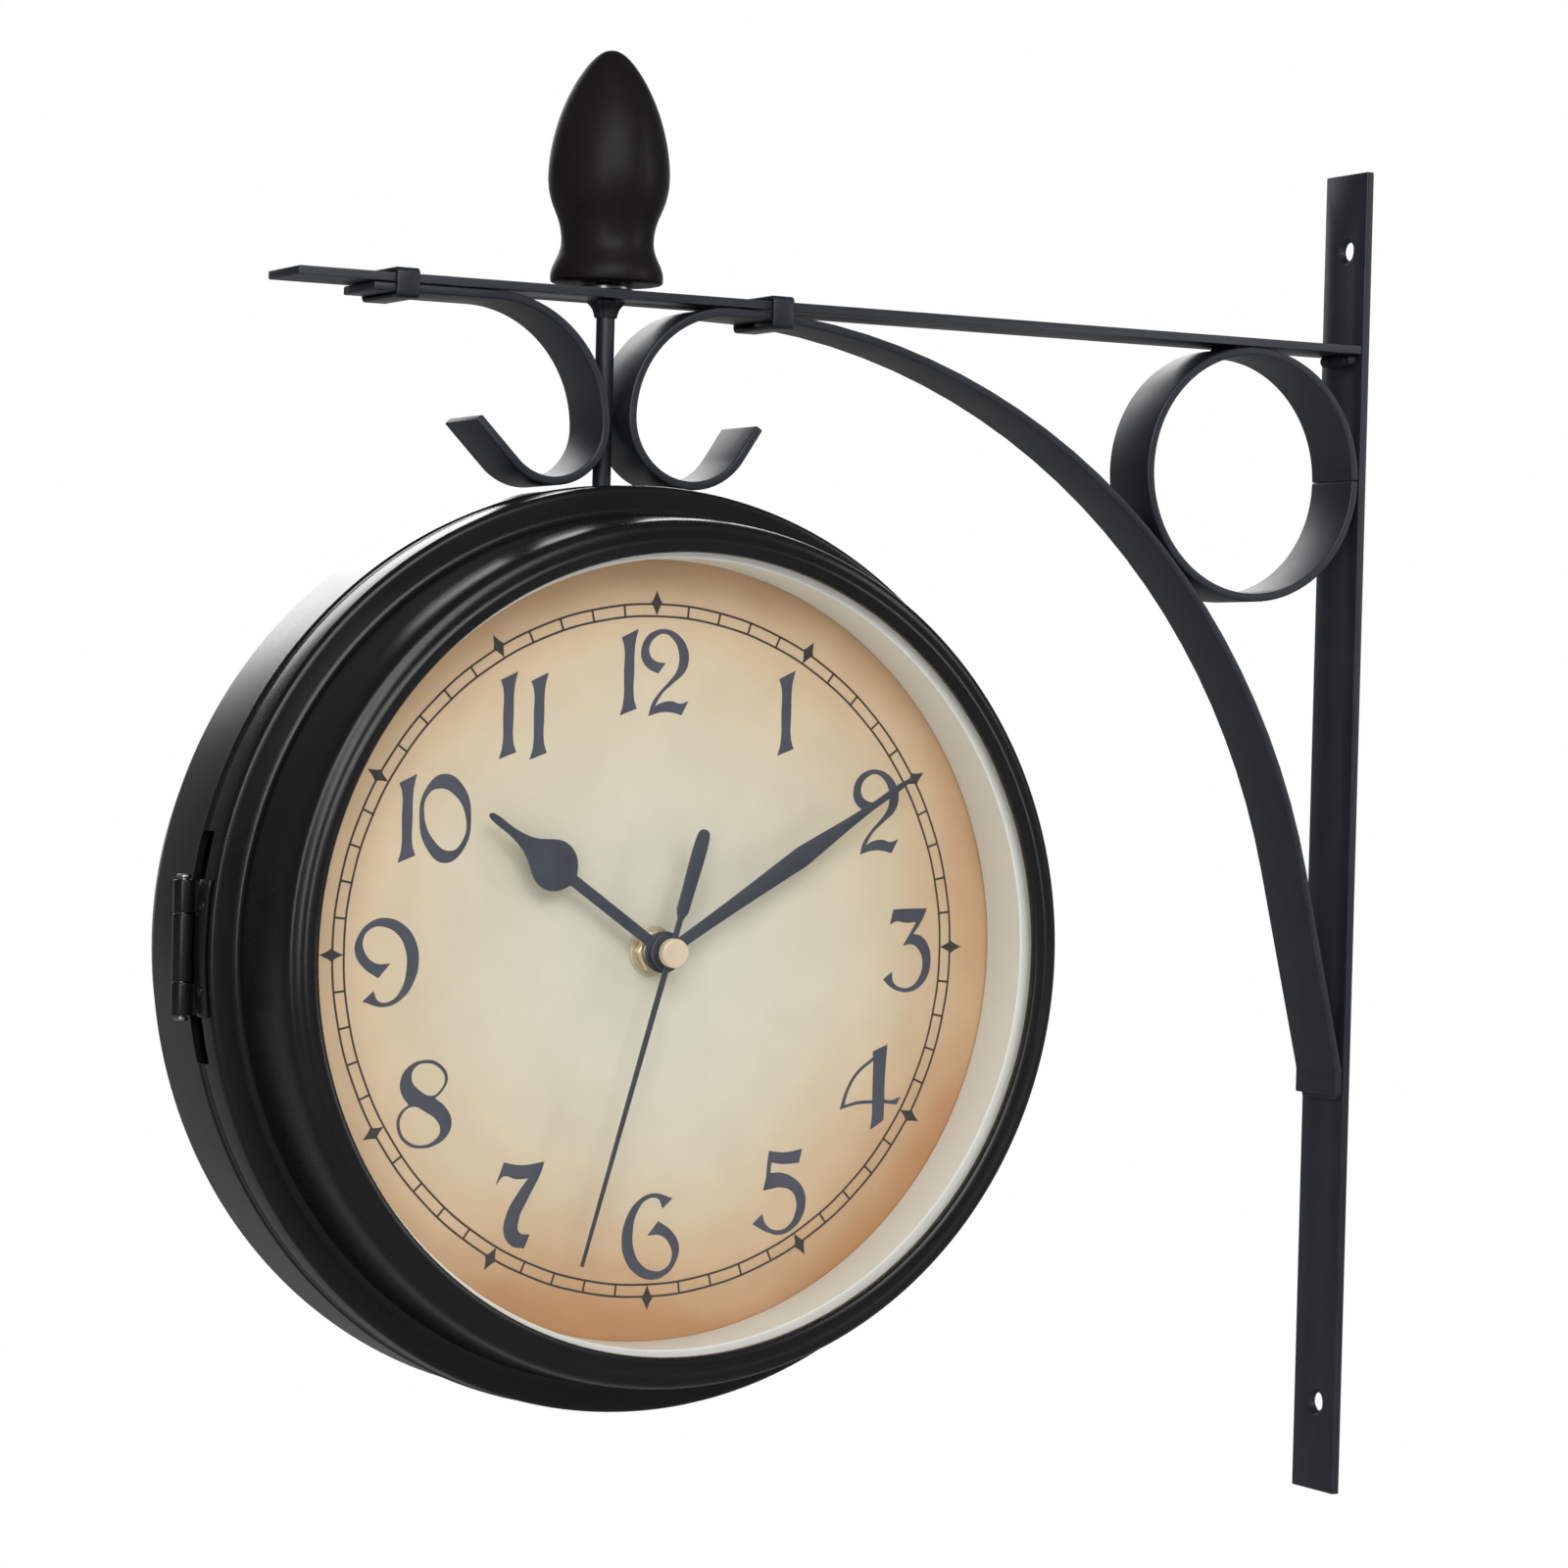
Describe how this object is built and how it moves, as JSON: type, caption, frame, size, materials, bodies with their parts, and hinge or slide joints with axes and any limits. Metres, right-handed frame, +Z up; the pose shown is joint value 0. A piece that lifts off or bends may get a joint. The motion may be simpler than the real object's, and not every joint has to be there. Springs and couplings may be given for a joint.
{
  "type": "double sided wall clock on a bracket",
  "caption": "Round drum clock with a dial on each side, hung by a rod from a scrolled steel strip bracket that screws flat to a wall.",
  "frame": {"origin": "middle of the wall bar's back face, which lies on the wall", "axes": "+X points into the wall, +Z up, and the front dial faces -Y"},
  "size_m": [0.3655, 0.096, 0.3938],
  "materials": {
    "bracket_steel": "satin black powder coat",
    "case_steel": "satin black lacquer",
    "finial_wood": "dark stained and lacquered",
    "zinc": "bright zinc plate",
    "brass": "turned brass",
    "champagne": "champagne anodised",
    "glass": "clear float glass",
    "ivory_ring": "warm off-white, matt",
    "dial_card": "matt printed paper, aged cream to brown, on card",
    "hand_slate": "satin slate grey lacquer",
    "black_plastic": "fine textured black",
    "white_plastic": "smooth off-white",
    "battery_sleeve": "printed sleeve, plain blue"
  },
  "bodies": {
    "bracket": {"wall_bar": "bracket_steel", "top_bar": "bracket_steel", "brace_strip": "bracket_steel", "left_scroll": "bracket_steel", "brace_ring": "bracket_steel", "collar_outer": "bracket_steel", "collar_inner": "bracket_steel", "corner_weld": "bracket_steel", "rod_weld": "bracket_steel", "finial_washer": "zinc", "finial": "finial_wood", "hanger_rod": "bracket_steel", "rod_washer": "zinc", "rod_nut": "zinc", "rod_lock_nut": "zinc"},
    "case": {"rear_case": "case_steel", "hinge_leaf_case": "case_steel", "hinge_pin": "zinc", "catch_magnet": "black_plastic", "glass_rear": "glass", "spacer_ring_rear": "ivory_ring", "dial_rear": "dial_card", "retainer_rear": "zinc", "movement_case_rear": "black_plastic", "movement_cover_rear": "white_plastic", "battery_rear": "battery_sleeve", "bush_rear": "brass", "washer_rear": "brass", "nut_rear": "brass"},
    "door": {"front_case": "case_steel", "hinge_leaf_door": "case_steel", "catch_plate": "zinc", "glass_front": "glass", "spacer_ring_front": "ivory_ring", "dial_front": "dial_card", "retainer_front": "zinc", "movement_case_front": "black_plastic", "movement_cover_front": "white_plastic", "battery_front": "battery_sleeve", "bush_front": "brass", "washer_front": "brass", "nut_front": "brass"},
    "hour_front": {"hour_wheel_front": "brass", "hour_hand_front": "hand_slate"},
    "minute_front": {"minute_wheel_front": "brass", "minute_hand_front": "hand_slate"},
    "second_front": {"second_wheel_front": "brass", "second_hand_front": "hand_slate", "hand_cap_front": "champagne"},
    "knob_front": {"set_knob_front": "black_plastic"},
    "hour_rear": {"hour_wheel_rear": "brass", "hour_hand_rear": "hand_slate"},
    "minute_rear": {"minute_wheel_rear": "brass", "minute_hand_rear": "hand_slate"},
    "second_rear": {"second_wheel_rear": "brass", "second_hand_rear": "hand_slate", "hand_cap_rear": "champagne"},
    "knob_rear": {"set_knob_rear": "black_plastic"}
  },
  "joints": [
    {"name": "case_swivel", "type": "hinge", "parent": "bracket", "child": "case", "pos_m": [-0.24, 0, 0.0878], "axis": [0, 0, 1], "range_deg": [-25, 25]},
    {"name": "door_hinge", "type": "hinge", "parent": "case", "child": "door", "pos_m": [-0.3629, -0.0205, -0.0322], "axis": [0, 0, -1], "range_deg": [0, 110]},
    {"name": "second_front_spin", "type": "hinge", "parent": "door", "child": "second_front", "pos_m": [-0.24, -0.0465, -0.0322], "axis": [0, 1, 0], "continuous": true},
    {"name": "minute_front_spin", "type": "hinge", "parent": "door", "child": "minute_front", "pos_m": [-0.24, -0.0445, -0.0322], "axis": [0, 1, 0], "continuous": true},
    {"name": "hour_front_spin", "type": "hinge", "parent": "door", "child": "hour_front", "pos_m": [-0.24, -0.0425, -0.0322], "axis": [0, 1, 0], "continuous": true},
    {"name": "knob_front_spin", "type": "hinge", "parent": "door", "child": "knob_front", "pos_m": [-0.231, -0.0165, -0.0192], "axis": [0, 1, 0], "continuous": true},
    {"name": "second_rear_spin", "type": "hinge", "parent": "case", "child": "second_rear", "pos_m": [-0.24, 0.0245, -0.0322], "axis": [0, -1, 0], "continuous": true},
    {"name": "minute_rear_spin", "type": "hinge", "parent": "case", "child": "minute_rear", "pos_m": [-0.24, 0.0225, -0.0322], "axis": [0, -1, 0], "continuous": true},
    {"name": "hour_rear_spin", "type": "hinge", "parent": "case", "child": "hour_rear", "pos_m": [-0.24, 0.0205, -0.0322], "axis": [0, -1, 0], "continuous": true},
    {"name": "knob_rear_spin", "type": "hinge", "parent": "case", "child": "knob_rear", "pos_m": [-0.249, -0.0055, -0.0192], "axis": [0, -1, 0], "continuous": true}
  ],
  "couplings": [
    {"joint": "minute_front_spin", "follows": "second_front_spin", "ratio": 0.016667},
    {"joint": "hour_front_spin", "follows": "second_front_spin", "ratio": 0.0013889},
    {"joint": "knob_front_spin", "follows": "second_front_spin", "ratio": -0.0055556},
    {"joint": "minute_rear_spin", "follows": "second_rear_spin", "ratio": 0.016667},
    {"joint": "hour_rear_spin", "follows": "second_rear_spin", "ratio": 0.0013889},
    {"joint": "knob_rear_spin", "follows": "second_rear_spin", "ratio": -0.0055556}
  ]
}
